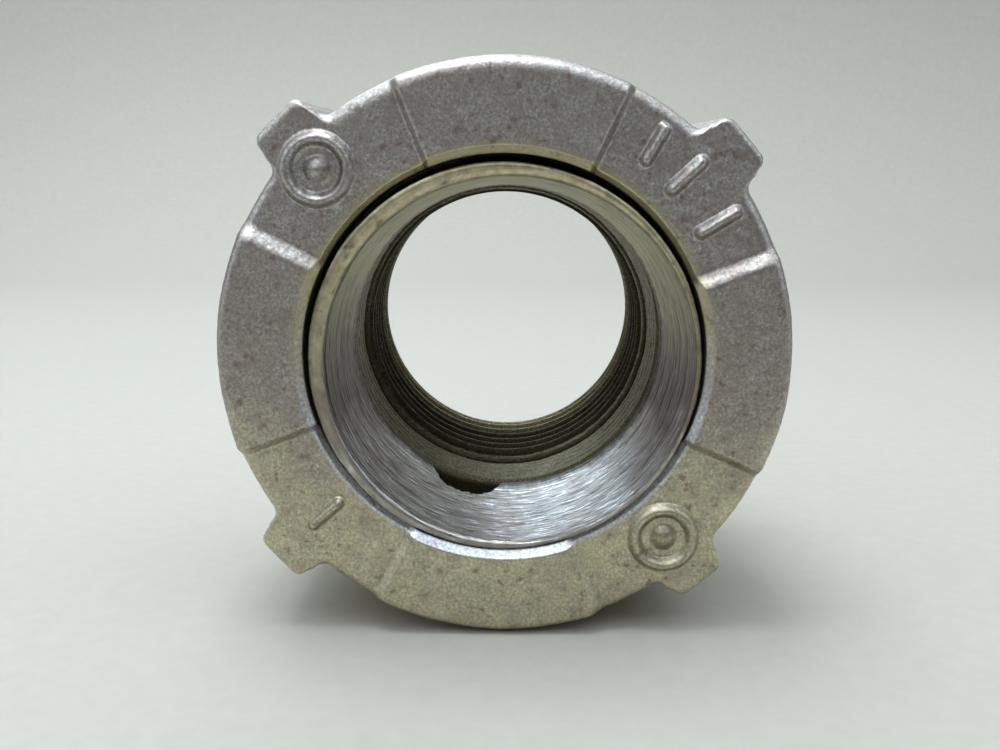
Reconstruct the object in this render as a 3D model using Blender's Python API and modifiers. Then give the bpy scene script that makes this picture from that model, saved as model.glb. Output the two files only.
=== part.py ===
"""Three-piece conduit union for 1 inch pipe thread: ring nut, flanged sleeve and threaded hub.

The bore runs along Y. The nut's face looks towards -Y and the hub's wrench end towards +Y.
The origin is on the bore's axis, halfway along the fitting. Each piece is drawn standing on
its own Z axis, which a quarter turn about X lays along the bore, so that local +Z looks
towards -Y. Depths are measured from the nut's raised pads towards the hub's end.
"""
import math

import bmesh
import bpy

MM = 0.001
GAP = 0.3 * MM
TURN_STEPS = 64

# The whole fitting
LENGTH = 35.5 * MM

# Ring nut
NUT_LENGTH = 20.0 * MM
RIM_RADIUS = 28.0 * MM
RIM_ROUND = 1.8 * MM
ROUND_STEPS = 4
LUG_COUNT = 4
LUG_HEIGHT = 2.8 * MM
LUG_TIP_ANGLE = math.radians(4.4)
LUG_FOOT_ANGLE = math.radians(8.4)
LUG_TURN = math.radians(42.5)
LUG_EDGE = 1.0 * MM
LUG_ROOT_RADIUS = 25.0 * MM
PAD_STEP = 1.0 * MM
PAD_ANGLE = math.radians(46.8)
NUT_HOLE_RADIUS = 19.0 * MM
NUT_HOLE_CHAMFER = 0.7 * MM
LIP_THICKNESS = 7.5 * MM
LUG_STEPS = 5

# The thread between the nut and the hub, as plain cylinders either side of its pitch line
JOINT_THREAD_RADIUS = 22.55 * MM
NUT_THREAD_RADIUS = JOINT_THREAD_RADIUS + GAP / 2
HUB_THREAD_RADIUS = JOINT_THREAD_RADIUS - GAP / 2
NUT_THREAD_CHAMFER = 0.8 * MM

# Flanged sleeve, which lies off centre in the nut's hole, towards its lower right side
SLEEVE_SIDE_SHIFT = 0.31 * MM
SLEEVE_DROP = 0.22 * MM
SLEEVE_FRONT = 0.5 * MM
SLEEVE_RADIUS = 18.2 * MM
SLEEVE_EDGE = 0.25 * MM
SLEEVE_MOUTH_RADIUS = 16.8 * MM
SLEEVE_BORE_FRONT_RADIUS = 16.5 * MM
SLEEVE_BORE_BACK_RADIUS = 16.05 * MM
FLANGE_FRONT = LIP_THICKNESS + GAP
FLANGE_BACK = 13.7 * MM
FLANGE_RADIUS = 21.8 * MM
FLANGE_EDGE = 0.5 * MM

# Threaded hub
HUB_FRONT = FLANGE_BACK + GAP
HUB_MOUTH_RADIUS = 16.2 * MM
HUB_BORE_START = 20.0 * MM
HUB_BORE_FRONT_RADIUS = 15.5 * MM
HUB_BORE_BACK_RADIUS = 15.0 * MM
HUB_THREAD_CHAMFER = 1.0 * MM
HUB_RELIEF_RADIUS = 21.3 * MM
HUB_RELIEF_WIDTH = 0.9 * MM
HEX_FRONT = 22.0 * MM
HEX_ACROSS_FLATS = 47.6 * MM
HEX_CHAMFER = 1.5 * MM
END_CHAMFER = 1.2 * MM

ZINC_NUT = (0.43, 0.42, 0.39, 1.0)
ZINC_SLEEVE = (0.55, 0.54, 0.52, 1.0)
ZINC_HUB = (0.40, 0.38, 0.32, 1.0)


def clear_scene():
    for obj in list(bpy.data.objects):
        bpy.data.objects.remove(obj)


def new_collection(name):
    collection = bpy.data.collections.new(name)
    bpy.context.scene.collection.children.link(collection)
    return collection


def plated_iron(name, colour, roughness):
    material = bpy.data.materials.new(name)
    material.use_nodes = True
    shader = material.node_tree.nodes["Principled BSDF"]
    shader.inputs["Base Color"].default_value = colour
    shader.inputs["Metallic"].default_value = 0.8
    shader.inputs["Roughness"].default_value = roughness
    return material


def height(depth):
    """Local height of a depth measured from the nut's raised pads."""
    return LENGTH / 2 - depth


def add_object(name, mesh, collection):
    obj = bpy.data.objects.new(name, mesh)
    obj.rotation_euler.x = math.pi / 2
    collection.objects.link(obj)
    return obj


def as_cutter(obj):
    obj.hide_render = True
    obj.display_type = "WIRE"
    return obj


def turned(name, profile, collection):
    """A shape turned about local Z from (radius, depth) points.

    The profile runs outwards over the front and down the outer side. A ring's profile goes on
    up its bore to close the loop, and a solid's starts and ends on the axis.
    """
    mesh = bpy.data.meshes.new(name)
    points = [(radius, 0.0, height(depth)) for radius, depth in profile]
    edges = [(i, i + 1) for i in range(len(points) - 1)]
    if profile[0][0] > 0:
        edges.append((len(points) - 1, 0))
    mesh.from_pydata(points, edges, [])
    obj = add_object(name, mesh, collection)
    screw = obj.modifiers.new("turn", "SCREW")
    screw.angle = 2 * math.pi
    screw.steps = TURN_STEPS
    screw.render_steps = TURN_STEPS
    screw.use_merge_vertices = True
    screw.merge_threshold = 0.01 * MM
    return obj


def prism(name, outlines, front, back, collection):
    """Flat outlines in local XY, extruded from one depth to another, as one mesh object."""
    curve = bpy.data.curves.new(name, "CURVE")
    curve.dimensions = "2D"
    curve.fill_mode = "BOTH"
    curve.extrude = (back - front) / 2
    for outline in outlines:
        spline = curve.splines.new("POLY")
        spline.points.add(len(outline) - 1)
        spline.use_cyclic_u = True
        for point, (x, y) in zip(spline.points, outline):
            point.co = (x, y, 0.0, 1.0)
    drawn = add_object(name + "_outline", curve, collection)
    bpy.context.view_layer.update()
    evaluated = drawn.evaluated_get(bpy.context.evaluated_depsgraph_get())
    mesh = bpy.data.meshes.new_from_object(evaluated)
    bpy.data.objects.remove(drawn)
    shape = bmesh.new()
    shape.from_mesh(mesh)
    bmesh.ops.remove_doubles(shape, verts=shape.verts, dist=0.001 * MM)
    bmesh.ops.translate(shape, verts=shape.verts, vec=(0, 0, height((front + back) / 2)))
    bmesh.ops.recalc_face_normals(shape, faces=shape.faces)
    shape.to_mesh(mesh)
    shape.free()
    mesh.name = name
    return add_object(name, mesh, collection)


def cut(obj, tool, operation="DIFFERENCE"):
    boolean = obj.modifiers.new(tool.name, "BOOLEAN")
    boolean.object = tool
    boolean.operation = operation
    boolean.solver = "EXACT"


def smooth(obj):
    """Bakes the modifiers into the mesh and shades its round stretches smooth."""
    bpy.context.view_layer.update()
    evaluated = obj.evaluated_get(bpy.context.evaluated_depsgraph_get())
    obj.data = bpy.data.meshes.new_from_object(evaluated)
    obj.modifiers.clear()
    obj.data.shade_smooth()
    obj.data.set_sharp_from_angle(angle=math.radians(30))


def finish_part(obj, material):
    smooth(obj)
    obj.data.materials.clear()
    obj.data.materials.append(material)


def lug_centres():
    return [LUG_TURN + i * 2 * math.pi / LUG_COUNT for i in range(LUG_COUNT)]


def rim_radius(offset):
    """The nut's outer radius at an angle from the middle of the nearest lug."""
    share = (LUG_FOOT_ANGLE - abs(offset)) / (LUG_FOOT_ANGLE - LUG_TIP_ANGLE)
    share = min(max(share, 0.0), 1.0)
    return RIM_RADIUS + LUG_HEIGHT * share * share * (3 - 2 * share)


def spread(start, end, count):
    """Evenly spaced values from start to end, without the end itself."""
    return [start + (end - start) * i / count for i in range(count)]


def lug_outlines():
    """Each lug seen along the bore: both flanks, its tip, and a root buried in the rim."""
    foot = LUG_FOOT_ANGLE
    tip = LUG_TIP_ANGLE
    offsets = spread(-foot, -tip, LUG_STEPS) + spread(-tip, tip, LUG_STEPS) + spread(tip, foot, LUG_STEPS) + [foot]
    corners = [(rim_radius(offset), offset) for offset in offsets]
    corners += [(LUG_ROOT_RADIUS, foot), (LUG_ROOT_RADIUS, -foot)]
    outlines = []
    for centre in lug_centres():
        outlines.append([(r * math.cos(centre + a), r * math.sin(centre + a)) for r, a in corners])
    return outlines


def rounded_corner(radius, depth, turn):
    """A quarter round of the rim's edge about (radius, depth), from turn a quarter onwards."""
    angles = [turn + math.pi / 2 * i / ROUND_STEPS for i in range(ROUND_STEPS + 1)]
    return [(radius + RIM_ROUND * math.sin(a), depth - RIM_ROUND * math.cos(a)) for a in angles]


def lug_sectors():
    """Wedges over the lugs, where the nut's face lies one step below its raised pads."""
    half = (2 * math.pi / LUG_COUNT - PAD_ANGLE) / 2
    inner = NUT_HOLE_RADIUS / 2
    outer = RIM_RADIUS * 1.5
    outlines = []
    for centre in lug_centres():
        corners = [(inner, -half), (outer, -half), (outer, half), (inner, half)]
        outlines.append([(r * math.cos(centre + a), r * math.sin(centre + a)) for r, a in corners])
    return outlines


def make_lugs(cutters):
    """The four lugs as prisms, with their front and back edges taken off by a turned blank."""
    lugs = prism("nut_lugs", lug_outlines(), PAD_STEP, NUT_LENGTH, cutters)
    tip = RIM_RADIUS + LUG_HEIGHT
    blank = turned("nut_lug_blank", [
        (0.0, PAD_STEP),
        (tip - LUG_EDGE, PAD_STEP),
        (tip + GAP, PAD_STEP + LUG_EDGE),
        (tip + GAP, NUT_LENGTH - LUG_EDGE),
        (tip - LUG_EDGE, NUT_LENGTH),
        (0.0, NUT_LENGTH),
    ], cutters)
    cut(lugs, as_cutter(blank), "INTERSECT")
    return as_cutter(lugs)


def make_ring_nut(parts, cutters, material):
    thread = NUT_THREAD_RADIUS
    shoulder = RIM_RADIUS - RIM_ROUND
    profile = [(NUT_HOLE_RADIUS + NUT_HOLE_CHAMFER, 0.0)]
    profile += rounded_corner(shoulder, RIM_ROUND, 0.0)
    profile += rounded_corner(shoulder, NUT_LENGTH - RIM_ROUND, math.pi / 2)
    profile += [
        (thread + NUT_THREAD_CHAMFER, NUT_LENGTH),
        (thread, NUT_LENGTH - NUT_THREAD_CHAMFER),
        (thread, LIP_THICKNESS),
        (NUT_HOLE_RADIUS, LIP_THICKNESS),
        (NUT_HOLE_RADIUS, PAD_STEP + NUT_HOLE_CHAMFER),
    ]
    nut = turned("ring_nut", profile, parts)
    cut(nut, make_lugs(cutters), "UNION")
    cut(nut, as_cutter(prism("nut_lug_sectors", lug_sectors(), -GAP, PAD_STEP, cutters)))
    finish_part(nut, material)


def make_flanged_sleeve(parts, material):
    sleeve = turned("flanged_sleeve", [
        (SLEEVE_MOUTH_RADIUS, SLEEVE_FRONT),
        (SLEEVE_RADIUS - SLEEVE_EDGE, SLEEVE_FRONT),
        (SLEEVE_RADIUS, SLEEVE_FRONT + SLEEVE_EDGE),
        (SLEEVE_RADIUS, FLANGE_FRONT),
        (FLANGE_RADIUS - FLANGE_EDGE, FLANGE_FRONT),
        (FLANGE_RADIUS, FLANGE_FRONT + FLANGE_EDGE),
        (FLANGE_RADIUS, FLANGE_BACK - FLANGE_EDGE),
        (FLANGE_RADIUS - FLANGE_EDGE, FLANGE_BACK),
        (SLEEVE_BORE_BACK_RADIUS, FLANGE_BACK),
        (SLEEVE_BORE_FRONT_RADIUS, SLEEVE_FRONT + SLEEVE_MOUTH_RADIUS - SLEEVE_BORE_FRONT_RADIUS),
    ], parts)
    sleeve.location = (SLEEVE_SIDE_SHIFT, 0.0, -SLEEVE_DROP)
    finish_part(sleeve, material)


def make_threaded_hub(parts, cutters, material):
    corner = HEX_ACROSS_FLATS / 2 / math.cos(math.pi / 6)
    chamfer_radius = HEX_ACROSS_FLATS / 2
    thread = HUB_THREAD_RADIUS
    relief_start = HEX_FRONT - HUB_RELIEF_WIDTH
    hub = turned("threaded_hub", [
        (HUB_MOUTH_RADIUS, HUB_FRONT),
        (thread - HUB_THREAD_CHAMFER, HUB_FRONT),
        (thread, HUB_FRONT + HUB_THREAD_CHAMFER),
        (thread, relief_start - HUB_THREAD_CHAMFER),
        (HUB_RELIEF_RADIUS, relief_start),
        (HUB_RELIEF_RADIUS, HEX_FRONT),
        (chamfer_radius, HEX_FRONT),
        (corner + GAP, HEX_FRONT + HEX_CHAMFER),
        (corner + GAP, LENGTH - HEX_CHAMFER),
        (chamfer_radius, LENGTH),
        (HUB_BORE_BACK_RADIUS + END_CHAMFER, LENGTH),
        (HUB_BORE_BACK_RADIUS, LENGTH - END_CHAMFER),
        (HUB_BORE_FRONT_RADIUS, HUB_BORE_START),
    ], parts)
    mesh = bpy.data.meshes.new("hub_hex_bar")
    bar = bmesh.new()
    bmesh.ops.create_cone(bar, cap_ends=True, segments=6, radius1=corner, radius2=corner, depth=2 * LENGTH)
    bar.to_mesh(mesh)
    bar.free()
    cut(hub, as_cutter(add_object("hub_hex_bar", mesh, cutters)), "INTERSECT")
    finish_part(hub, material)


def main():
    clear_scene()
    parts = new_collection("pipe_union")
    cutters = new_collection("cutters")
    make_ring_nut(parts, cutters, plated_iron("nut_zinc", ZINC_NUT, 0.5))
    make_flanged_sleeve(parts, plated_iron("sleeve_zinc", ZINC_SLEEVE, 0.35))
    make_threaded_hub(parts, cutters, plated_iron("hub_zinc", ZINC_HUB, 0.45))


main()
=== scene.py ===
"""The looks of the three-piece conduit union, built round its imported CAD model.

Lengths in this script are millimetres, and become metres where a mesh is made. A depth is measured
from the nut's raised pads towards the hub's end, and an angle about the bore from +X towards +Z.
"""
import math

import bmesh
import bpy
import numpy as np
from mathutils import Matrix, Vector, noise


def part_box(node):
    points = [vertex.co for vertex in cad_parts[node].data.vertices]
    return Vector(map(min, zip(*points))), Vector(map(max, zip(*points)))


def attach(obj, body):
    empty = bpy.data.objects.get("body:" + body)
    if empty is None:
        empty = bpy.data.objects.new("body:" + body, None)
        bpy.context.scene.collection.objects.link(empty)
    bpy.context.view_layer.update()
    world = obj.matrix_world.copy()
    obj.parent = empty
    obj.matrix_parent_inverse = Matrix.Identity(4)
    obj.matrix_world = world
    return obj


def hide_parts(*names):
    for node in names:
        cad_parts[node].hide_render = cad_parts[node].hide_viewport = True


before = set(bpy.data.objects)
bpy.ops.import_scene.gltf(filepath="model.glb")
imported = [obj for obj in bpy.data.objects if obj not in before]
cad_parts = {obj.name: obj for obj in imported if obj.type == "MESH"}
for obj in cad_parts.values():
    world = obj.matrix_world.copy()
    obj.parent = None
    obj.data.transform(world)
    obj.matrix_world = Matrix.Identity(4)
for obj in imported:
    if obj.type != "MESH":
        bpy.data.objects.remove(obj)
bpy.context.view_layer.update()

MM = 0.001
NUT_LOW, NUT_HIGH = (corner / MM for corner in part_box("ring_nut"))
SLEEVE_LOW, SLEEVE_HIGH = (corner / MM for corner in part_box("flanged_sleeve"))
HUB_LOW, HUB_HIGH = (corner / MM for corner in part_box("threaded_hub"))

# Measures taken from the frame
FACE_Y = NUT_LOW.y
RIM_RADIUS = NUT_HIGH.x
NUT_LENGTH = NUT_HIGH.y - FACE_Y
SLEEVE_CENTRE = ((SLEEVE_LOW.x + SLEEVE_HIGH.x) / 2, (SLEEVE_LOW.z + SLEEVE_HIGH.z) / 2)
SLEEVE_FRONT = SLEEVE_LOW.y - FACE_Y
FLANGE_BACK = SLEEVE_HIGH.y - FACE_Y
FLANGE_RADIUS = (SLEEVE_HIGH.x - SLEEVE_LOW.x) / 2
HUB_FRONT = HUB_LOW.y - FACE_Y
HUB_END = HUB_HIGH.y - FACE_Y
HEX_FLAT = HUB_HIGH.x
FLOOR_Z = NUT_LOW.z - 0.05

# Ring nut: each raised pad is (middle angle, width, width of its first wall, width of its last wall),
# and each lug (middle angle, half its width, height)
PADS = ((-1.6, 46.2, 0.8, 1.15), (88.3, 46.4, 0.6, 0.6), (176.7, 47.1, 1.15, 0.8), (266.1, 47.6, 1.1, 1.1))
PAD_STEP = 1.0
LUGS = ((42.7, 3.0, 2.8), (133.4, 3.0, 3.1), (222.3, 2.9, 2.95), (311.2, 2.9, 2.6))
LUG_CORNER = 1.0
LUG_DRAFT = 0.4
LUG_FILLET = 1.3
CAST_MARGIN = 0.05
RIM_FLATNESS = 0.4
RIM_ROUND = 1.55
RIM_ROUND_STRETCH = 1.2
RIM_DRAFT = 0.25
BACK_ROUND_STRETCH = 0.8
LUG_ROUND = 1.0
HOLE_RADIUS = 19.2
HOLE_CHAMFER = 0.85
RECESS_CHAMFER_SHARE = 0.65
CHAMFER_SLOPE = 0.85
LIP_THICKNESS = 7.5
CAST_ROUGHNESS = 0.028
CAST_WAVE = 0.08

# How close together the nut's columns are, in degrees: in plain stretches, near the marks on the face,
# and at the lugs' flanks and the pads' walls
PLAIN_SPACING = 0.6
MARKED_SPACING = 0.27
FLANK_SPACING = 0.16

# How many rows each of the longer stretches of a swept ring has
FACE_ROWS = 64
JOINT_THREAD_ROWS = 64
HOLE_ROWS = 14
SLEEVE_BORE_ROWS = 150
CONDUIT_THREAD_ROWS = 190
HUB_MOUTH_ROWS = 60
HEX_ROWS = 30

# The thread between the nut and the hub
JOINT_PITCH = 1.5875
JOINT_THREAD_HEIGHT = 0.9
JOINT_THREAD_CHAMFER = 0.5
JOINT_THREAD_RELIEF = 0.6
NUT_CREST = 22.15
NUT_ROOT = NUT_CREST + JOINT_THREAD_HEIGHT
HUB_ROOT = 22.0
HUB_CREST = HUB_ROOT + JOINT_THREAD_HEIGHT

# Marks cast on the nut: plain rings with a dot as (angle, radius), and plain bars as (angle, radius,
# tilt, length, half width)
RING_MARKS = ((134.2, 24.75), (311.3, 23.9))
RING_MARK_RADIUS = 2.85
MARK_DOT_RADIUS = 1.4
RING_HALF_WIDTH = 0.8
MARK_HEIGHT = 0.75
BAR_MARKS = (
    (221.7, 23.5, 0.0, 3.4, 0.72),
    (55.3, 24.3, 4.0, 3.2, 0.75),
    (45.6, 24.0, -3.0, 3.6, 0.8),
    (33.0, 23.7, -2.0, 3.6, 0.8),
)

# Conduit thread
PIPE_PITCH = 2.209
PIPE_CREST = 15.0
PIPE_ROOT = 16.4

# Flanged sleeve: its bore tapers from a mouth bored a little off centre, with a scribed line behind
# the lip and a casting void in the far edge; the void and the bore's far end are painted dark as shade
SLEEVE_RADIUS = 18.8
SLEEVE_LEAN = 0.25
SLEEVE_SAG = 0.12
LIP_ROUND = 0.45
MOUTH_LIP_RADIUS = 17.8
MOUTH_SHIFT = 0.45
MOUTH_SHIFT_ANGLE = -55.0
SCRIBE_DEPTH = 1.3
SCRIBE_HALF_WIDTH = 0.16
SCRIBE_CUT = 0.07
SCRIBE_ANGLE = 140.0
SLEEVE_BACK_RADIUS = 16.05
SLEEVE_END_ROUND = 0.5
SLEEVE_RIDGE = 0.03
STREAK_HEIGHT = 0.034
# Lengths over which the bore's far end is painted dark as shade at the joint
FAR_SHADE_LENGTH = 2.4
FAR_SHADE_FULL_LENGTH = 0.7
JOINT_GAP = 0.3
FLANGE_FRONT = LIP_THICKNESS + JOINT_GAP
VOID_MIDDLE = 253.5
VOID_HALF_ANGLE = 13.6
VOID_DEPTH = 9.7
VOID_RADIUS = 18.2
VOID_CURVE = 3.2
VOID_RAGGEDNESS = 0.11

# Threaded hub: a conical mouth with a groove, then the conduit thread, oily and painted dark as shade
# up to a set depth; CREST_AT_BOTTOM is the depth of one of its crests at the bore's lowest line
MOUTH_RADIUS = 16.3
MOUTH_GROOVE = 18.9
MOUTH_GROOVE_DEPTH = 0.35
MOUTH_END = 20.0
MOUTH_INNER = 15.5
CREST_AT_BOTTOM = 32.92
# Depth where the thread's oily film and painted shade end
THREAD_SHADE_END = 30.0
HEX_FRONT = 22.0
HEX_EDGE = HEX_FLAT - 0.4
HEX_CORNER_CUT = 1.13
HEX_CHAMFER_SLOPE = 1.9
END_CHAMFER = 1.2
END_MOUTH = PIPE_CREST + END_CHAMFER + 0.3

# Stage, in world coordinates: a floor with a rounded rise into a backdrop behind the object
FLOOR_FRONT = -3000.0
FLOOR_BACK = 260.0
RISE_RADIUS = 120.0
RISE_STEPS = 12
BACKDROP_HEIGHT = 900.0
STAGE_HALF_WIDTH = 3000.0

# Camera, placed in world coordinates
SENSOR_WIDTH = 36.0
LENS = 37.44
CAMERA_PLACE = (0.93, FACE_Y - 96.37, 19.45)
CAMERA_DOWN_DEGREES = 12.19
CAMERA_LEFT_DEGREES = 0.76

# Reflected colours of the metal; a ramp has (position, colour) stops
GREY_GRAIN = ((0.34, (0.25, 0.23, 0.21)), (0.5, (0.42, 0.40, 0.38)), (0.66, (0.66, 0.655, 0.645)))
# Painted warm reflection on the nut's lower half
OLIVE_REFLECTION_GRAIN = ((0.34, (0.44, 0.40, 0.24)), (0.5, (0.60, 0.56, 0.37)), (0.66, (0.78, 0.75, 0.56)))
# Painted highlight on the lower bevel of the nut's hole
HIGHLIGHT_GRAIN = ((0.34, (0.40, 0.41, 0.43)), (0.5, (0.62, 0.64, 0.67)), (0.66, (0.86, 0.89, 0.92)))
HUB_GRAIN = ((0.38, (0.17, 0.15, 0.09)), (0.5, (0.33, 0.30, 0.20)), (0.64, (0.58, 0.53, 0.37)))
# Painted sheen on the bore's lower half
SHEEN_RINGS = ((0.3, (0.28, 0.275, 0.275)), (0.5, (0.48, 0.48, 0.485)), (0.7, (0.76, 0.78, 0.80)))
DULL_RINGS = ((0.3, (0.165, 0.13, 0.12)), (0.5, (0.205, 0.165, 0.15)), (0.7, (0.25, 0.21, 0.20)))
PALE_STAGE = ((0.3, (0.405, 0.385, 0.34)), (0.7, (0.43, 0.41, 0.365)))
MAUVE_CLOUD = (0.36, 0.305, 0.28)
WHITE_SPECK = (0.80, 0.81, 0.82)
# Painted warm reflection below the nut's top
BROWN_REFLECTION = (0.26, 0.205, 0.16)
# Painted warm reflection: olive clouds low on the nut
OLIVE_CLOUD = (0.42, 0.36, 0.27)
# Painted warm reflection on the upper bevel of the nut's hole
OLIVE_BEVEL_REFLECTION = (0.50, 0.45, 0.26)
RUST_PIT = (0.19, 0.11, 0.09)
BRONZE_TINT = (0.34, 0.28, 0.27)
# Painted glints in the bore
PAINTED_GLINT = (0.93, 0.96, 1.0)
# Painted warm reflection in the bore's upper half
OLIVE_BORE_REFLECTION = (0.47, 0.455, 0.28)
# Painted warm reflection on the sleeve's end ring
DARK_OCHRE = (0.42, 0.36, 0.23)
PALE_OCHRE = (0.66, 0.60, 0.42)
DARK_SCRATCH = (0.09, 0.07, 0.055)
OLIVE_PATCH = (0.27, 0.24, 0.12)
# Near-black colours for painted shade and grime, and the hub's oily film
NUT_SHADE_AND_DIRT = (0.035, 0.026, 0.016)
SLEEVE_SHADE_AND_DIRT = (0.012, 0.010, 0.008)
HUB_OIL_AND_SHADE = (0.012, 0.010, 0.007)
COOL_LIGHT = (0.84, 0.93, 1.0)
SKY_LIGHT = (0.76, 0.89, 1.0)
WARM_LIGHT = (1.0, 0.97, 0.94)
WORLD_LIGHT = (0.80, 0.83, 0.88)
WORLD_STRENGTH = 0.12


def smooth_min(a, b, k):
    """The smaller of a and b, rounded off where they are within k of each other."""
    near = np.maximum(k - np.abs(a - b), 0.0) / k
    return np.minimum(a, b) - near * near * k / 4


def smooth_max(a, b, k):
    """The larger of a and b, rounded off like smooth_min."""
    return -smooth_min(-a, -b, k)


def smoothstep(low, high, x):
    """0 at low and 1 at high, with a smooth change between them."""
    t = np.clip((x - low) / (high - low), 0.0, 1.0)
    return t * t * (3 - 2 * t)


def shares(count):
    """Even steps from 0 up to, and without, 1."""
    return np.arange(count) / count


def angle_gap(a, b):
    """Smallest signed angle from b to a, in degrees."""
    return (a - b + 180.0) % 360.0 - 180.0


def thread_wave(phase, crest=0.12, root=0.12):
    """A truncated vee thread: 1 on the crest, 0 in the root, once for each whole phase."""
    distance = np.abs((phase + 0.5) % 1.0 - 0.5) * 2
    return np.clip((1 - root - distance) / (1 - crest - root), 0.0, 1.0)


def helix_phase(depth, angles, pitch):
    """Right-handed: the thread comes towards the nut's face as the angle grows."""
    return depth / pitch + angles / 360.0


class Profile:
    """The rows of a ring swept about the bore, each with a radius and depth at every angle."""

    def __init__(self, angles):
        self.angles = angles
        self.radius = []
        self.depth = []
        self.cast = []
        self.shade_and_dirt = []

    def row(self, radius, depth, cast=0.0, shade_and_dirt=0.0):
        """Adds a row; cast is how far it has the casting's grain, and the last argument how dark it is, from
        0 to 1: painted shade in gaps and hollows, and grime.
        """
        columns = (self.radius, self.depth, self.cast, self.shade_and_dirt)
        for rows, value in zip(columns, (radius, depth, cast, shade_and_dirt)):
            rows.append(np.broadcast_to(np.asarray(value, float), self.angles.shape).copy())

    def line(self, start, end, count, cast=0.0, shade_and_dirt=0.0):
        """Rows from start up to, and without, end."""
        for t in shares(count):
            radius = start[0] + (end[0] - start[0]) * t
            depth = start[1] + (end[1] - start[1]) * t
            self.row(radius, depth, cast, shade_and_dirt)

    def corner(self, start, middle, end, count, cast=0.0, shade_and_dirt=0.0):
        """Rows along a round corner from start to end, drawn towards middle."""
        for t in shares(count):
            a, b, c = (1 - t) ** 2, 2 * t * (1 - t), t * t
            radius = a * start[0] + b * middle[0] + c * end[0]
            depth = a * start[1] + b * middle[1] + c * end[1]
            self.row(radius, depth, cast, shade_and_dirt)


def grid_points(profile, centre):
    """The profile's points, one row after another, swept about the axis through centre."""
    radius = np.array(profile.radius)
    turn = np.radians(profile.angles)
    x = centre[0] + radius * np.cos(turn)
    z = centre[1] + radius * np.sin(turn)
    y = FACE_Y + np.array(profile.depth)
    return np.stack([x, y, z], axis=-1)


def grid_normals(points):
    """Unit normals of a grid that closes on itself both ways."""
    along = np.roll(points, -1, 0) - np.roll(points, 1, 0)
    around = np.roll(points, -1, 1) - np.roll(points, 1, 1)
    normals = np.cross(along, around)
    return normals / np.maximum(np.linalg.norm(normals, axis=-1, keepdims=True), 1e-9)


def noise_at(points, size, seed):
    """Smooth noise with features about size across, from -1 to 1."""
    shift = Vector((seed * 17.3, seed * 5.1, seed * 9.7))
    flat = points.reshape(-1, 3) / size
    values = [noise.noise(Vector(p) + shift) for p in flat]
    return np.array(values).reshape(points.shape[:-1])


def roughen(points, weight, fine, wave, seed):
    """Moves the points along their normals by the surface's grain and its slower waviness."""
    offset = fine * (noise_at(points, 0.75, seed) + 0.6 * noise_at(points, 0.4, seed + 1))
    offset += wave * noise_at(points, 5.0, seed + 2)
    return points + grid_normals(points) * (offset * weight)[..., None]


def swept_mesh(name, points, shade_and_dirt):
    """A closed ring of quads through the grid, with its painted shade and grime kept as an attribute for its
    material.
    """
    rows, columns = points.shape[:2]
    index = np.arange(rows * columns).reshape(rows, columns)
    below = np.roll(index, -1, 0)
    quads = np.stack([index, below, np.roll(below, -1, 1), np.roll(index, -1, 1)], axis=-1).reshape(-1, 4)
    mesh = bpy.data.meshes.new(name)
    mesh.from_pydata((points.reshape(-1, 3) * MM).tolist(), [], quads.tolist())
    mesh.shade_smooth()
    attribute = mesh.attributes.new("shade_and_dirt", "FLOAT", "POINT")
    attribute.data.foreach_set("value", np.asarray(shade_and_dirt, np.float32).ravel())
    piece = bpy.data.objects.new(name, mesh)
    bpy.context.scene.collection.objects.link(piece)
    return piece


def nut_angles():
    """Angles all round the nut, close together where it has marks, lugs or step walls."""
    angles = [0.0]
    walls = [pad[0] + side * pad[1] / 2 for pad in PADS for side in (-1, 1)]
    while angles[-1] < 360.0:
        here = angles[-1]
        near_lug = min(abs(angle_gap(here, centre)) for centre, _, _ in LUGS)
        near_wall = min(abs(angle_gap(here, wall)) for wall in walls)
        # a lug's flanks lie 3 to 10 degrees from its middle, and the marks within 17 degrees of one
        step = MARKED_SPACING if near_lug < 17 else PLAIN_SPACING
        if near_wall < 2 or 3 < near_lug < 10:
            step = FLANK_SPACING
        angles.append(here + step)
    return np.array(angles[:-1])


def lug_outline(across, half_width, height):
    """A lug's height at a distance from its middle: a round corner, a drafted flank and a round foot."""
    corner = np.clip((across - half_width + LUG_CORNER) / LUG_CORNER, 0.0, 1.0)
    top = height - LUG_CORNER * (1 - np.sqrt(1 - corner ** 2))
    foot = np.clip((half_width + LUG_DRAFT + LUG_FILLET - across) / LUG_FILLET, 0.0, 1.0)
    bottom = LUG_FILLET * (1 - np.sqrt(1 - foot ** 2))
    flank = np.clip((across - half_width) / LUG_DRAFT, 0.0, 1.0)
    return top + (bottom - top) * flank


def rim_outline(angles):
    """The nut's outer radius: a slightly oval rim with four lugs, with soft corners and wide fillets."""
    radius = RIM_RADIUS - CAST_MARGIN - RIM_FLATNESS * np.cos(np.radians(angles)) ** 2
    for centre, half_width, height in LUGS:
        across = np.abs(angle_gap(angles, centre)) * math.pi / 180 * (RIM_RADIUS + height)
        radius += lug_outline(across, half_width, height)
    return radius


def lug_share(angles):
    """1 at the lugs and 0 between them."""
    share = np.zeros(angles.shape)
    for centre, _, _ in LUGS:
        share = np.maximum(share, 1 - smoothstep(5.0, 9.0, np.abs(angle_gap(angles, centre))))
    return share


def face_step(angles, radius):
    """Depth of the nut's face: 0 on the raised pads and one step down between them."""
    raised = np.zeros(angles.shape)
    for centre, width, first_wall, last_wall in PADS:
        turn = angle_gap(angles, centre)
        edge = (width / 2 - np.abs(turn)) * math.pi / 180 * radius
        wall = np.where(turn < 0, first_wall, last_wall)
        ramp = smooth_max(edge / wall + 0.5, 0.0, 0.3)
        raised = np.maximum(raised, smooth_min(ramp, 1.0, 0.3))
    return PAD_STEP * (1 - raised)


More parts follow.
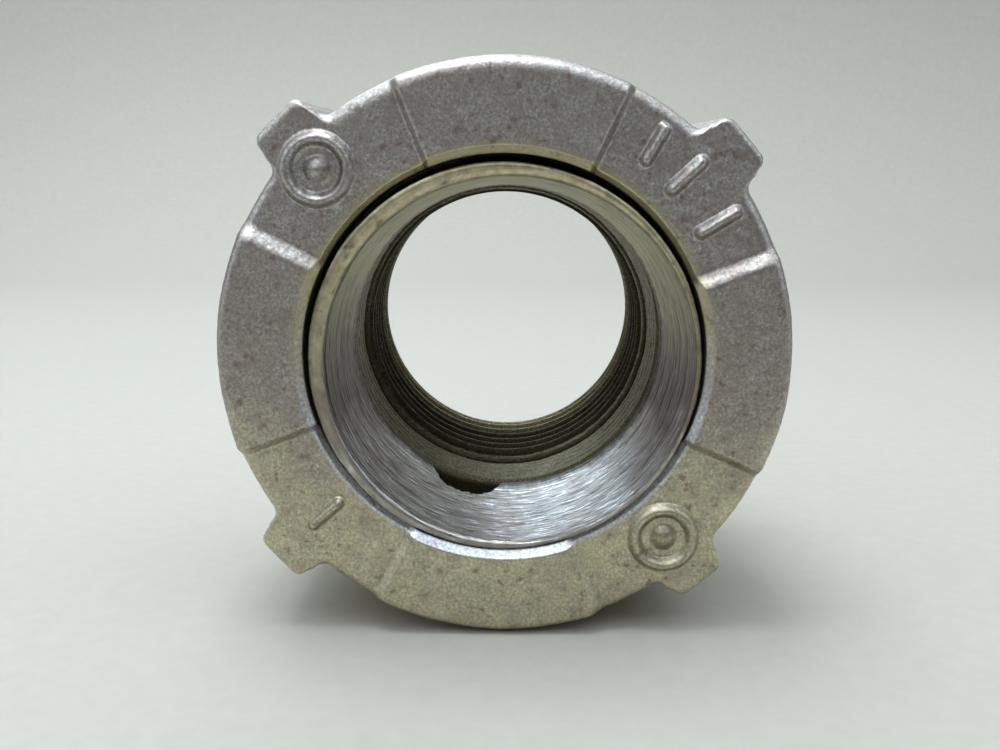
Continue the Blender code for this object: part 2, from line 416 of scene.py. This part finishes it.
def ridge(away, half_width):
    """A round ridge, 1 high on its line and easing to 0 at half_width from it."""
    return np.clip(1 - (away / half_width) ** 2, 0.0, 1.0) ** 1.5


def offset_from(angles, radius, angle, place):
    """Sideways and upward distances of the points from the one at an angle and a radius."""
    turn = np.radians(angles)
    middle = math.radians(angle)
    dx = radius * np.cos(turn) - place * math.cos(middle)
    dz = radius * np.sin(turn) - place * math.sin(middle)
    return dx, dz


def mark_height(angles, radius):
    """Height of the cast marks above the nut's face."""
    height = np.zeros(angles.shape)
    for angle, place in RING_MARKS:
        away = np.hypot(*offset_from(angles, radius, angle, place))
        height = np.maximum(height, ridge(away - RING_MARK_RADIUS, RING_HALF_WIDTH))
        height = np.maximum(height, ridge(away, MARK_DOT_RADIUS))
    for angle, place, tilt, length, half_width in BAR_MARKS:
        out = math.radians(angle + tilt)
        dx, dz = offset_from(angles, radius, angle, place)
        along = dx * math.cos(out) + dz * math.sin(out)
        across = dz * math.cos(out) - dx * math.sin(out)
        away = np.hypot(np.maximum(np.abs(along) - length / 2, 0.0), across)
        height = np.maximum(height, ridge(away, half_width))
    return MARK_HEIGHT * height


def nut_face(profile, inner, outer):
    """The stepped face with its cast marks, darker at the marks' feet."""
    for t in shares(FACE_ROWS):
        radius = inner + (outer - inner) * t
        mark = mark_height(profile.angles, radius)
        foot = mark * (MARK_HEIGHT - mark) / MARK_HEIGHT ** 2
        profile.row(radius, face_step(profile.angles, radius) - mark, cast=1.0, shade_and_dirt=foot)


def nut_rim(profile, outer, edge, step):
    """From the face's edge over the rounded rim and along the lugs to the back."""
    side = step + edge * RIM_ROUND_STRETCH
    drafted = outer - RIM_DRAFT
    back = NUT_LENGTH - edge * BACK_ROUND_STRETCH
    profile.corner((outer - edge, step), (outer, step), (outer, side), 9, cast=1.0)
    profile.line((outer, side), (drafted, back), 22, cast=1.0)
    profile.corner((drafted, back), (drafted, NUT_LENGTH), (outer - edge, NUT_LENGTH), 6, cast=1.0)
    profile.line((outer - edge, NUT_LENGTH), (NUT_ROOT + 0.4, NUT_LENGTH), 6, cast=0.6)


def nut_thread(profile):
    """The inside thread, from the back of the nut to the back of its lip."""
    start = NUT_LENGTH - JOINT_THREAD_CHAMFER
    end = LIP_THICKNESS + JOINT_THREAD_RELIEF
    profile.line((NUT_ROOT + 0.4, NUT_LENGTH), (NUT_ROOT, start), 2, shade_and_dirt=0.3)
    for t in shares(JOINT_THREAD_ROWS):
        depth = start + (end - start) * t
        wave = thread_wave(helix_phase(depth, profile.angles, JOINT_PITCH))
        profile.row(NUT_CREST + JOINT_THREAD_HEIGHT * wave, depth, shade_and_dirt=0.6)
    profile.line((NUT_ROOT, LIP_THICKNESS), (HOLE_RADIUS, LIP_THICKNESS), 5, shade_and_dirt=0.8)


def nut_hole(profile, inner, chamfer, step):
    """The hole in the lip, painted dark deep down as shade in the gap, and the bevel up to the face."""
    bevel_top = step + chamfer * CHAMFER_SLOPE
    for t in shares(HOLE_ROWS):
        depth = LIP_THICKNESS + (bevel_top - LIP_THICKNESS) * t
        # painted shade, darker deeper in the gap round the sleeve
        hole_shade = 0.8 * smoothstep(2.0, 5.0, depth - step)
        profile.row(HOLE_RADIUS, depth, cast=0.2, shade_and_dirt=hole_shade)
    front = face_step(profile.angles, inner)
    bevel_end = (inner - 0.2, front + 0.15)
    profile.line((HOLE_RADIUS, bevel_top), bevel_end, 7, cast=0.4)
    profile.corner(bevel_end, (inner - 0.1, front), (inner, front), 3, cast=0.4)


def make_ring_nut():
    """The cast ring nut, swept as one closed ring from its face round to its hole."""
    angles = nut_angles()
    profile = Profile(angles)
    outer = rim_outline(angles)
    edge = RIM_ROUND + (LUG_ROUND - RIM_ROUND) * lug_share(angles)
    step = face_step(angles, outer - edge)
    raised = 1 - face_step(angles, HOLE_RADIUS) / PAD_STEP
    chamfer = HOLE_CHAMFER * (RECESS_CHAMFER_SHARE + (1 - RECESS_CHAMFER_SHARE) * raised)
    inner = HOLE_RADIUS + chamfer
    nut_face(profile, inner, outer - edge)
    nut_rim(profile, outer, edge, step)
    nut_thread(profile)
    nut_hole(profile, inner, chamfer, step)
    points = grid_points(profile, (0.0, 0.0))
    points = roughen(points, np.array(profile.cast), CAST_ROUGHNESS, CAST_WAVE, seed=3)
    piece = swept_mesh("cast_ring_nut", points, profile.shade_and_dirt)
    piece.data.materials.append(cast_zinc("nut_zinc_grain"))
    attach(piece, "nut")
    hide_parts("ring_nut")


def ragged_line(angles):
    """A fine uneven wave round the bore, for the void's torn edge and the ragged edge of painted shade."""
    turn = np.radians(angles)
    return np.sin(turn * 61) + 0.7 * np.sin(turn * 113 + 1) + 0.6 * np.sin(turn * 197 + 2)


def sleeve_void(angles, depth):
    """How far each point lies inside the casting void in the sleeve's far edge, from 0 to 1."""
    across = np.abs(angle_gap(angles, VOID_MIDDLE)) / VOID_HALF_ANGLE
    edge = VOID_DEPTH + VOID_RAGGEDNESS * ragged_line(angles) + VOID_CURVE * np.clip(across, 0, 1.2) ** 3
    return smoothstep(0.0, 0.3, depth - edge) * (1 - smoothstep(0.98, 1.04, across))


def sleeve_bore(angles, depth):
    """The bore's radius: a long taper from a mouth that lies a little off centre."""
    lip = MOUTH_LIP_RADIUS + MOUTH_SHIFT * np.cos(np.radians(angles - MOUTH_SHIFT_ANGLE))
    return lip + (SLEEVE_BACK_RADIUS - lip) * (depth - SLEEVE_FRONT) / (FLANGE_BACK - SLEEVE_FRONT)


def sleeve_outer(angles):
    """The sleeve's outer radius, a little wider towards the lower left."""
    turn = np.radians(angles)
    return SLEEVE_RADIUS - SLEEVE_LEAN * np.cos(turn) - SLEEVE_SAG * np.sin(turn)


def sleeve_outside(profile, outer):
    """From the end ring along the outside and round the flange to the bore's far edge, painted darker inside
    the nut as shade.
    """
    front = SLEEVE_FRONT
    round_end = front + LIP_ROUND
    # the outside is painted darker further in, as shade inside the nut's hole
    shaded = front + 1.6
    profile.corner((outer - LIP_ROUND, front), (outer, front), (outer, round_end), 6, cast=0.3, shade_and_dirt=0.2)
    profile.line((outer, round_end), (outer, shaded), 3, cast=0.3, shade_and_dirt=0.3)
    profile.line((outer, shaded), (outer, FLANGE_FRONT), 6, cast=0.3, shade_and_dirt=0.6)
    profile.line((outer, FLANGE_FRONT), (FLANGE_RADIUS, FLANGE_FRONT), 4, shade_and_dirt=0.5)
    profile.line((FLANGE_RADIUS, FLANGE_FRONT), (FLANGE_RADIUS, FLANGE_BACK), 6, shade_and_dirt=0.6)
    void = sleeve_void(profile.angles, FLANGE_BACK)
    back = SLEEVE_BACK_RADIUS + (VOID_RADIUS - SLEEVE_BACK_RADIUS) * void
    profile.line((FLANGE_RADIUS, FLANGE_BACK), (back + 0.4, FLANGE_BACK), 5, shade_and_dirt=0.9)
    profile.line((back + 0.4, FLANGE_BACK), (back, FLANGE_BACK - SLEEVE_END_ROUND), 4, shade_and_dirt=1.0)


def sleeve_inside(profile, mouth):
    """The bore from its far edge to the mouth: a shallow thread, the void and far end painted dark as shade,
    the scribed line.
    """
    angles = profile.angles
    end = FLANGE_BACK - SLEEVE_END_ROUND
    ragged = 0.12 * ragged_line(angles)
    towards_scribe = 0.5 + 0.5 * np.cos(np.radians(angles - SCRIBE_ANGLE))
    for t in shares(SLEEVE_BORE_ROWS):
        depth = np.full(angles.shape, end + (mouth - end) * t)
        wave = thread_wave(helix_phase(depth, angles, PIPE_PITCH), crest=0.4, root=0.2)
        worn_and_sheen = smoothstep(mouth + 0.6, mouth + 2.5, depth)
        radius = sleeve_bore(angles, depth) + SLEEVE_RIDGE * (1 - wave) * worn_and_sheen
        void = sleeve_void(angles, depth)
        # painted shade at the bore's far end by the hub, with a ragged edge
        shaded = smoothstep(FLANGE_BACK - FAR_SHADE_LENGTH, FLANGE_BACK - FAR_SHADE_FULL_LENGTH, depth + ragged)
        scribe = np.exp(-((depth - SCRIBE_DEPTH) / SCRIBE_HALF_WIDTH) ** 2) * towards_scribe
        shade_and_dirt = np.maximum(0.65 * scribe, 0.85 * shaded)
        # the void is painted black as shade
        shade_and_dirt = np.maximum(shade_and_dirt, np.minimum(void * 3, 1.0))
        radius = radius + (VOID_RADIUS - radius) * void + SCRIBE_CUT * scribe
        profile.row(radius, depth, shade_and_dirt=shade_and_dirt)


def sleeve_lip(profile, mouth, outer):
    """The rounded lip between the bore's mouth and the flat end ring."""
    flat = outer - LIP_ROUND
    inner = sleeve_bore(profile.angles, mouth)
    lip = np.minimum(inner + 0.7, flat - 0.05)
    profile.corner((inner, mouth), (inner + 0.15, SLEEVE_FRONT + 0.03), (lip, SLEEVE_FRONT), 8, cast=0.1)
    profile.line((lip, SLEEVE_FRONT), (flat, SLEEVE_FRONT), 3, cast=0.1)


def turning_streaks(points):
    """Moves the points by fine tool marks that run round the bore."""
    streaks = noise_at(points * (0.1, 1.0, 0.1), size=0.32, seed=7)
    streaks += 0.6 * noise_at(points * (0.2, 1.0, 0.2), size=0.17, seed=8)
    return points + grid_normals(points) * (STREAK_HEIGHT * streaks)[..., None]


def make_sleeve():
    """The turned sleeve, swept as one closed ring from its end ring round to its lip."""
    profile = Profile(np.arange(0.0, 360.0, 0.4))
    outer = sleeve_outer(profile.angles)
    mouth = SLEEVE_FRONT + SLEEVE_END_ROUND
    sleeve_outside(profile, outer)
    sleeve_inside(profile, mouth)
    sleeve_lip(profile, mouth, outer)
    points = turning_streaks(grid_points(profile, SLEEVE_CENTRE))
    points = roughen(points, np.array(profile.cast) + 0.15, fine=0.03, wave=0.1, seed=11)
    piece = swept_mesh("turned_sleeve", points, profile.shade_and_dirt)
    piece.data.materials.append(turned_zinc("sleeve_zinc_turned"))
    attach(piece, "sleeve")
    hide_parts("flanged_sleeve")


def hexagon(angles):
    """Radius of a hexagon with two flats upright, at each angle."""
    return HEX_FLAT / np.cos(np.radians((angles + 30.0) % 60.0 - 30.0))


def hub_outside_thread(profile):
    """The hub's front face and the thread that the nut runs on."""
    start = HUB_FRONT + JOINT_THREAD_CHAMFER
    end = HEX_FRONT - 0.3
    chamfer = (HUB_ROOT - 0.6, HUB_FRONT)
    profile.line((MOUTH_RADIUS, HUB_FRONT), chamfer, 6, shade_and_dirt=0.6)
    profile.line(chamfer, (HUB_ROOT, start), 2, shade_and_dirt=0.3)
    for t in shares(JOINT_THREAD_ROWS):
        depth = start + (end - start) * t
        wave = thread_wave(helix_phase(depth, profile.angles, JOINT_PITCH))
        fade = smoothstep(start - 0.3, start + 0.8, depth)
        radius = HUB_ROOT + JOINT_THREAD_HEIGHT * wave * fade
        profile.row(radius, depth, shade_and_dirt=0.5 * (1 - wave))


def hub_hexagon(profile):
    """The wrench end, chamfered all round at both of its ends."""
    corner = smooth_min(hexagon(profile.angles), HEX_FLAT * HEX_CORNER_CUT, 0.6)
    profile.line((HUB_CREST - 0.6, HEX_FRONT), (HEX_EDGE, HEX_FRONT), 4, cast=0.5)
    for t in shares(HEX_ROWS):
        depth = HEX_FRONT + (HUB_END - HEX_FRONT) * t
        from_end = min(depth - HEX_FRONT, HUB_END - depth)
        chamfer = HEX_EDGE + from_end * HEX_CHAMFER_SLOPE
        profile.row(smooth_min(corner, chamfer, 0.5), depth, cast=1.0)
    profile.line((HEX_EDGE, HUB_END), (END_MOUTH, HUB_END), 10, cast=0.6)


def hub_conduit_thread(profile):
    """The conduit thread, from the hub's end to its mouth, oily and painted dark as shade, with painted crest
    highlights.
    """
    start = HUB_END - END_CHAMFER
    profile.line((END_MOUTH, HUB_END), (PIPE_CREST, start), 4, shade_and_dirt=0.2)
    crest_phase = CREST_AT_BOTTOM / PIPE_PITCH + 270.0 / 360.0
    for t in shares(CONDUIT_THREAD_ROWS):
        depth = start - (start - MOUTH_END) * t
        phase = helix_phase(depth, profile.angles, PIPE_PITCH) - crest_phase
        wave = thread_wave(phase, crest=0.1, root=0.2)
        fade = smoothstep(start + 0.1, start - 1.2, depth)
        height = (PIPE_ROOT - PIPE_CREST) * smoothstep(MOUTH_END - 0.5, MOUTH_END + 1.2, depth)
        # oily film and painted shade over the thread, fading out at a set depth, roots darker
        oil_and_shade = 1 - 0.75 * smoothstep(THREAD_SHADE_END - 1.5, THREAD_SHADE_END + 2.0, depth)
        # a little painted highlight on the crests
        crest_highlight = smoothstep(0.85, 1.0, wave)
        shade_and_dirt = oil_and_shade * (0.85 + 0.15 * (1 - wave) - 0.12 * crest_highlight)
        profile.row(PIPE_CREST + height * (1 - wave) * fade, depth, shade_and_dirt=shade_and_dirt)


def hub_mouth(profile):
    """The conical mouth with its groove, from the thread to the hub's front, painted dark as shade, most in
    the groove.
    """
    length = MOUTH_END - HUB_FRONT
    for t in shares(HUB_MOUTH_ROWS):
        depth = MOUTH_END - length * t
        cone = MOUTH_INNER + (MOUTH_RADIUS - MOUTH_INNER) * t
        groove = math.exp(-((depth - MOUTH_GROOVE) / 0.45) ** 4)
        edge = smoothstep(MOUTH_END - 0.5, MOUTH_END - 0.1, depth)
        ripple = 0.02 * math.sin(depth * 7.3)
        radius = cone + MOUTH_GROOVE_DEPTH * groove - 0.15 * edge + ripple
        # painted shade in the mouth, deepest in the groove
        shade_and_dirt = 0.58 + 0.4 * groove - 0.25 * edge
        profile.row(radius, depth, cast=1.0, shade_and_dirt=shade_and_dirt)


def make_hub():
    """The cast hub, swept as one closed ring from its front face round to its mouth."""
    profile = Profile(np.arange(0.0, 360.0, 0.75))
    hub_outside_thread(profile)
    hub_hexagon(profile)
    hub_conduit_thread(profile)
    hub_mouth(profile)
    points = grid_points(profile, (0.0, 0.0))
    points = roughen(points, np.array(profile.cast), fine=0.05, wave=0.06, seed=23)
    piece = swept_mesh("cast_hub", points, profile.shade_and_dirt)
    piece.data.materials.append(hub_zinc("hub_zinc_grain"))
    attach(piece, "hub")
    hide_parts("threaded_hub")


class Nodes:
    """Short ways to add and join the nodes of one material."""

    def __init__(self, name):
        self.material = bpy.data.materials.new(name)
        self.material.use_nodes = True
        self.tree = self.material.node_tree
        self.shader = self.tree.nodes["Principled BSDF"]
        coordinates = self.tree.nodes.new("ShaderNodeTexCoord")
        self.place = self.tree.nodes.new("ShaderNodeMapping")
        self.place.inputs["Scale"].default_value = (1 / MM, 1 / MM, 1 / MM)
        self.join(coordinates.outputs["Object"], self.place.inputs["Vector"])

    def join(self, source, target):
        """Links one socket to another."""
        self.tree.links.new(source, target)

    def stretched(self, scale):
        """The object's coordinates in millimetres, scaled along each axis."""
        node = self.tree.nodes.new("ShaderNodeMapping")
        node.inputs["Scale"].default_value = scale
        self.join(self.place.outputs["Vector"], node.inputs["Vector"])
        return node.outputs["Vector"]

    def noise(self, size, detail, roughness, vector=None):
        """Noise with features about size across, in millimetres."""
        node = self.tree.nodes.new("ShaderNodeTexNoise")
        node.inputs["Scale"].default_value = 1 / size
        node.inputs["Detail"].default_value = detail
        node.inputs["Roughness"].default_value = roughness
        self.join(vector or self.place.outputs["Vector"], node.inputs["Vector"])
        return node.outputs["Fac"]

    def ramp(self, value, stops):
        """A colour ramp with (position, colour) stops."""
        node = self.tree.nodes.new("ShaderNodeValToRGB")
        elements = node.color_ramp.elements
        while len(elements) < len(stops):
            elements.new(0.5)
        for element, (position, colour) in zip(elements, stops):
            element.position = position
            element.color = (*colour, 1.0)
        self.join(value, node.inputs["Fac"])
        return node.outputs["Color"]

    def mix(self, share, first, second):
        """A mix of two colours; each value is a socket, a number or a colour."""
        node = self.tree.nodes.new("ShaderNodeMix")
        node.data_type = "RGBA"
        for value, socket in ((share, node.inputs[0]), (first, node.inputs[6]), (second, node.inputs[7])):
            if isinstance(value, bpy.types.NodeSocket):
                self.join(value, socket)
            elif isinstance(value, tuple):
                socket.default_value = (*value, 1.0)
            else:
                socket.default_value = value
        return node.outputs[2]

    def mix_value(self, share, first, second):
        """A mix of two numbers, all three given as sockets."""
        node = self.tree.nodes.new("ShaderNodeMix")
        for value, socket in ((share, node.inputs[0]), (first, node.inputs[2]), (second, node.inputs[3])):
            self.join(value, socket)
        return node.outputs[0]

    def span(self, value, low, high, to_low=0.0, to_high=1.0):
        """The value's place from low to high, as a number from to_low to to_high."""
        node = self.tree.nodes.new("ShaderNodeMapRange")
        names = ("From Min", "From Max", "To Min", "To Max")
        for socket, number in zip(names, (low, high, to_low, to_high)):
            node.inputs[socket].default_value = number
        self.join(value, node.inputs["Value"])
        return node.outputs["Result"]

    def axis_share(self, axis, start, end, spread):
        """0 where an axis reads start and 1 where it reads end, with the change broken up by noise."""
        split = self.tree.nodes.new("ShaderNodeSeparateXYZ")
        self.join(self.place.outputs["Vector"], split.inputs["Vector"])
        shift = self.tree.nodes.new("ShaderNodeMath")
        shift.operation = "ADD"
        self.join(split.outputs[axis], shift.inputs[0])
        self.join(self.span(self.noise(7.0, 3.0, 0.6), 0.3, 0.7, -spread, spread), shift.inputs[1])
        return self.span(shift.outputs["Value"], start, end)

    def reach(self):
        """Distance from the bore's axis."""
        node = self.tree.nodes.new("ShaderNodeVectorMath")
        node.operation = "LENGTH"
        self.join(self.stretched((1.0, 0.0, 1.0)), node.inputs[0])
        return node.outputs["Value"]

    def attribute(self, name):
        """An attribute stored on the mesh."""
        node = self.tree.nodes.new("ShaderNodeAttribute")
        node.attribute_name = name
        return node.outputs["Fac"]

    def bump(self, height, strength, distance, after=None):
        """Fine relief, distance millimetres high, on top of the relief after."""
        node = self.tree.nodes.new("ShaderNodeBump")
        node.inputs["Strength"].default_value = strength
        node.inputs["Distance"].default_value = distance * MM
        self.join(height, node.inputs["Height"])
        if after:
            self.join(after, node.inputs["Normal"])
        return node.outputs["Normal"]

    def finish(self, colour, roughness, normal, metallic):
        """Joins everything to the shader and returns the material."""
        self.join(colour, self.shader.inputs["Base Color"])
        self.join(roughness, self.shader.inputs["Roughness"])
        self.join(normal, self.shader.inputs["Normal"])
        self.shader.inputs["Metallic"].default_value = metallic
        return self.material


def plated_grain(n, grain, cloud):
    """Grey grain with mauve clouds and bright specks, browner below the nut's top as a painted warm
    reflection.
    """
    colour = n.ramp(grain, GREY_GRAIN)
    colour = n.mix(n.span(cloud, 0.42, 0.66, 0.0, 0.75), colour, MAUVE_CLOUD)
    specks = n.noise(0.4, 3.0, 0.6)
    colour = n.mix(n.span(specks, 0.60, 0.74, 0.0, 0.5), colour, WHITE_SPECK)
    # painted warm reflection below the nut's top
    below_top = n.axis_share("Z", 16.0, 3.0, 3.0)
    return n.mix(below_top, colour, n.mix(0.38, colour, BROWN_REFLECTION))


def olive_reflection(n, grain, cloud, colour):
    """Olive patches over the nut's lower half, a painted warm reflection from below."""
    olive = n.ramp(grain, OLIVE_REFLECTION_GRAIN)
    olive = n.mix(n.span(cloud, 0.5, 0.7, 0.0, 0.6), olive, OLIVE_CLOUD)
    patches = n.span(n.noise(2.2, 3.0, 0.6), 0.35, 0.7, 0.45, 0.95)
    lower = n.axis_share("Z", -3.0, -16.0, 3.0)
    return n.mix(lower, colour, n.mix(patches, colour, olive))


def bevel_reflection_and_highlight(n, grain, colour):
    """The bevel round the nut's hole: olive above as a painted reflection, and a painted highlight below."""
    upper = n.axis_share("Z", -4.0, 8.0, 3.0)
    olive = n.mix(upper, colour, n.mix(0.7, colour, OLIVE_BEVEL_REFLECTION))
    colour = n.mix(n.span(n.reach(), 20.6, 19.8), colour, olive)
    lower = n.axis_share("Z", 5.0, -15.0, 2.0)
    bright = n.mix(lower, colour, n.ramp(grain, HIGHLIGHT_GRAIN))
    return n.mix(n.span(n.reach(), 20.1, 19.8), colour, bright)


def cast_zinc(name):
    """Zinc plate over an as-cast skin, with painted reflections, highlight and shade, rusty pits and grime.
    """
    n = Nodes(name)
    grain = n.noise(0.3, 4.0, 0.75)
    cloud = n.noise(1.8, 4.0, 0.65)
    pits = n.noise(0.9, 3.0, 0.55)
    colour = plated_grain(n, grain, cloud)
    # olive painted over the lower half as a warm reflection
    colour = olive_reflection(n, grain, cloud, colour)
    # the hole's bevel: painted reflection above and painted highlight below
    colour = bevel_reflection_and_highlight(n, grain, colour)
    colour = n.mix(n.span(pits, 0.60, 0.72, 0.0, 0.6), colour, RUST_PIT)
    # painted shade in gaps and hollows, with grime, from the mesh's attribute
    colour = n.mix(n.attribute("shade_and_dirt"), colour, NUT_SHADE_AND_DIRT)
    roughness = n.span(grain, 0.3, 0.7, 0.50, 0.36)
    normal = n.bump(n.noise(0.25, 3.0, 0.65), 0.6, 0.05)
    return n.finish(colour, roughness, normal, 1.0)


def bore_rings(n, rings, worn_and_sheen):
    """Colour of the turned bore: dull, with an olive top as painted reflection; painted sheen and glints
    below.
    """
    tint = n.noise(5.0, 3.0, 0.6)
    bright = n.ramp(rings, SHEEN_RINGS)
    bright = n.mix(n.span(tint, 0.42, 0.66, 0.0, 0.5), bright, BRONZE_TINT)
    # painted glints on the brightest rings
    bright = n.mix(n.span(rings, 0.58, 0.68, 0.0, 0.85), bright, PAINTED_GLINT)
    dull = n.ramp(rings, DULL_RINGS)
    # olive on the upper bore: a painted warm reflection
    upper = n.axis_share("Z", -1.0, 9.0, 3.0)
    dull = n.mix(upper, dull, n.mix(0.8, dull, OLIVE_BORE_REFLECTION))
    return n.mix(worn_and_sheen, dull, bright)


def ochre_lip_reflection(n, colour):
    """Ochre on the sleeve's end ring, painted as a warm reflection, thinner below."""
    front = FACE_Y + SLEEVE_FRONT
    ochre = n.mix(n.span(n.noise(1.0, 4.0, 0.7), 0.35, 0.65), DARK_OCHRE, PALE_OCHRE)
    upper = n.axis_share("Z", -9.0, 14.0, 4.0)
    lip = n.mix(upper, n.mix(0.25, colour, ochre), ochre)
    return n.mix(n.axis_share("Y", front + 0.55, front + 0.1, 0.1), colour, lip)


def turned_zinc(name):
    """Zinc plate over a turned bore: rings round the axis, an ochre lip as painted reflection, painted sheen,
    scratches and painted shade.
    """
    n = Nodes(name)
    rings = n.noise(0.2, 3.0, 0.6, n.stretched((0.09, 1.0, 0.09)))
    scratches = n.noise(0.35, 2.0, 0.5, n.stretched((0.2, 1.0, 0.2)))
    # the lower bore is rubbed smoother and painted brighter as sheen
    worn_and_sheen = n.axis_share("Z", -5.0, -13.0, 3.0)
    colour = ochre_lip_reflection(n, bore_rings(n, rings, worn_and_sheen))
    colour = n.mix(n.span(scratches, 0.62, 0.72, 0.0, 0.6), colour, DARK_SCRATCH)
    # painted shade in gaps and hollows, with grime, from the mesh's attribute
    colour = n.mix(n.attribute("shade_and_dirt"), colour, SLEEVE_SHADE_AND_DIRT)
    dull_roughness = n.span(rings, 0.3, 0.7, 0.55, 0.42)
    worn_roughness = n.span(rings, 0.35, 0.65, 0.46, 0.2)
    normal = n.bump(rings, 0.8, 0.06)
    normal = n.bump(n.noise(0.5, 3.0, 0.6), 0.25, 0.05, normal)
    return n.finish(colour, n.mix_value(worn_and_sheen, dull_roughness, worn_roughness), normal, 1.0)


def hub_zinc(name):
    """Dull zinc plate, olive in the mouth, and nearly black in the thread as oily film and painted shade."""
    n = Nodes(name)
    grain = n.noise(0.22, 3.0, 0.7)
    patch = n.noise(2.5, 4.0, 0.65)
    colour = n.ramp(grain, HUB_GRAIN)
    colour = n.mix(n.span(patch, 0.40, 0.65, 0.0, 0.7), colour, OLIVE_PATCH)
    # oily film and painted shade from the mesh's attribute
    colour = n.mix(n.attribute("shade_and_dirt"), colour, HUB_OIL_AND_SHADE)
    roughness = n.span(grain, 0.3, 0.7, 0.58, 0.44)
    normal = n.bump(grain, 0.6, 0.06)
    return n.finish(colour, roughness, normal, 1.0)


def stage_material():
    """Matt pale board with a faint speckle."""
    n = Nodes("pale_stage")
    speck = n.noise(2.0, 2.0, 0.5)
    colour = n.ramp(speck, PALE_STAGE)
    roughness = n.span(speck, 0.3, 0.7, 0.75, 0.85)
    normal = n.bump(speck, 0.05, 0.05)
    return n.finish(colour, roughness, normal, 0.0)


def stage_outline():
    """The stage seen from the side, as (world Y, height above the floor)."""
    outline = [(FLOOR_FRONT, 0.0), (FLOOR_BACK, 0.0)]
    for step in range(1, RISE_STEPS + 1):
        turn = math.pi / 2 * step / RISE_STEPS
        y = FLOOR_BACK + RISE_RADIUS * math.sin(turn)
        outline.append((y, RISE_RADIUS - RISE_RADIUS * math.cos(turn)))
    outline.append((FLOOR_BACK + RISE_RADIUS, BACKDROP_HEIGHT))
    return outline


def make_stage():
    """A pale floor that curves up into a backdrop behind the object."""
    outline = [(y * MM, (FLOOR_Z + z) * MM) for y, z in stage_outline()]
    mesh = bmesh.new()
    left, right = (
        [mesh.verts.new((x * MM, y, z)) for y, z in outline]
        for x in (-STAGE_HALF_WIDTH, STAGE_HALF_WIDTH)
    )
    for i in range(len(outline) - 1):
        mesh.faces.new((left[i], right[i], right[i + 1], left[i + 1]))
    data = bpy.data.meshes.new("stage")
    mesh.to_mesh(data)
    mesh.free()
    data.shade_smooth()
    data.materials.append(stage_material())
    stage = bpy.data.objects.new("stage", data)
    bpy.context.scene.collection.objects.link(stage)


def add_light(name, place, target, size, energy, colour):
    """A soft rectangular panel of light, aimed at target."""
    data = bpy.data.lights.new(name, "AREA")
    data.shape = "RECTANGLE"
    data.size = size[0] * MM
    data.size_y = size[1] * MM
    data.energy = energy
    data.color = colour
    light = bpy.data.objects.new(name, data)
    light.location = Vector(place) * MM
    aim = Vector(target) * MM - light.location
    light.rotation_euler = aim.to_track_quat("-Z", "Y").to_euler()
    bpy.context.scene.collection.objects.link(light)


def make_world():
    """A dim pale surround."""
    world = bpy.data.worlds.new("studio")
    world.use_nodes = True
    background = world.node_tree.nodes["Background"]
    background.inputs["Color"].default_value = (*WORLD_LIGHT, 1.0)
    background.inputs["Strength"].default_value = WORLD_STRENGTH
    bpy.context.scene.world = world


def make_lights():
    """A large ceiling panel with a small key below it, a window behind, and panels to the sides and front."""
    middle = (0, 0, 0)
    add_light("ceiling", (-40, 0, 420), (-40, 0, 0), (1400, 860), 6.0, COOL_LIGHT)
    add_light("key", (-60, 0, 400), middle, (220, 170), 1.35, COOL_LIGHT)
    add_light("back_window", (-100, 360, 240), middle, (280, 260), 0.68, SKY_LIGHT)
    add_light("left_panel", (-600, -60, 150), middle, (400, 300), 0.45, COOL_LIGHT)
    add_light("right_panel", (600, -60, 150), middle, (400, 300), 0.4, COOL_LIGHT)
    add_light("front_fill", (-160, -420, 300), middle, (300, 200), 0.2, WARM_LIGHT)


def make_camera():
    """The camera at the photograph's viewing angle."""
    data = bpy.data.cameras.new("camera")
    data.sensor_width = SENSOR_WIDTH
    data.lens = LENS
    data.clip_start = 0.005
    camera = bpy.data.objects.new("camera", data)
    camera.location = Vector(CAMERA_PLACE) * MM
    camera.rotation_euler.x = math.radians(90.0 - CAMERA_DOWN_DEGREES)
    camera.rotation_euler.z = math.radians(CAMERA_LEFT_DEGREES)
    bpy.context.scene.collection.objects.link(camera)
    bpy.context.scene.camera = camera


bpy.context.scene.view_settings.view_transform = "Standard"
make_camera()
make_ring_nut()
make_sleeve()
make_hub()
make_stage()
make_world()
make_lights()
